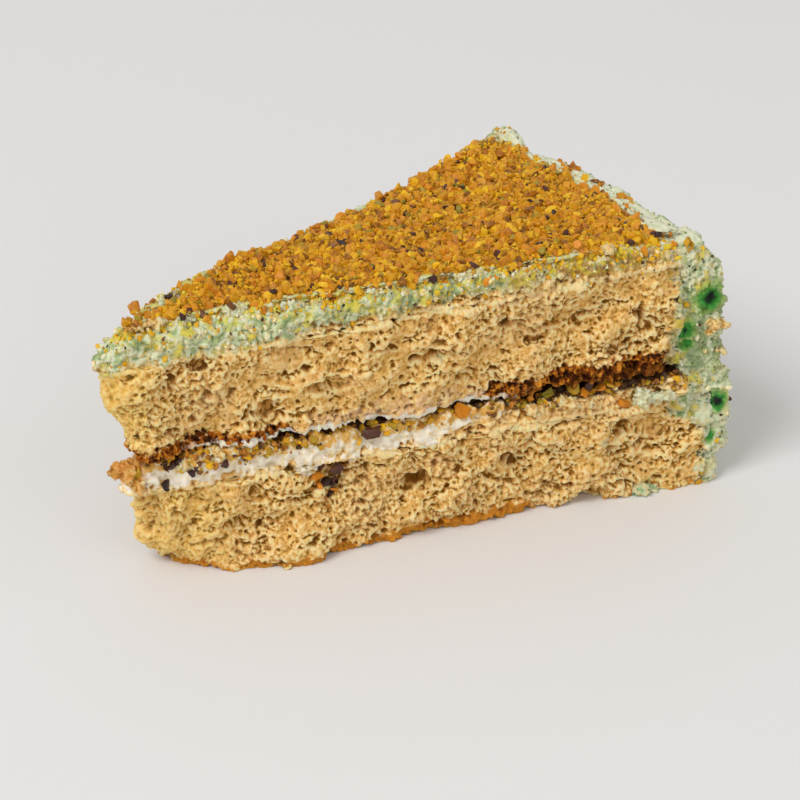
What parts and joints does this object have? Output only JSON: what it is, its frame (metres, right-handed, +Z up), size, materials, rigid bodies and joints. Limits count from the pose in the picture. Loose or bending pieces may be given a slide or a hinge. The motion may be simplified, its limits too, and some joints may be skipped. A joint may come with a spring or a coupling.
{
  "type": "slice of pistachio layer cake",
  "caption": "Wedge-shaped slice of milk-soaked pistachio layer cake: sponge layers with a cream and nut filling, green icing, and a crushed nut topping.",
  "frame": {"origin": "on the surface the slice stands on, under the middle of its bounding box", "axes": "+X from the slice's point to its iced outer side, along its middle line; +Z up through the layers"},
  "size_m": [0.1426, 0.0763, 0.0635],
  "materials": {
    "sponge": "torn, moist sponge crumb, pale gold, with a brown crust under each layer",
    "cream": "soft whipped cream with chopped nuts",
    "icing": "soft pale green cream with ground nut specks and stray spots of green colour",
    "nuts": "crushed nuts, golden to amber, with green and purple-brown pieces"
  },
  "bodies": {
    "root": {"lower_sponge": "sponge", "cream_filling": "cream", "upper_sponge": "sponge", "pistachio_icing": "icing", "crushed_nuts": "nuts"}
  },
  "joints": []
}
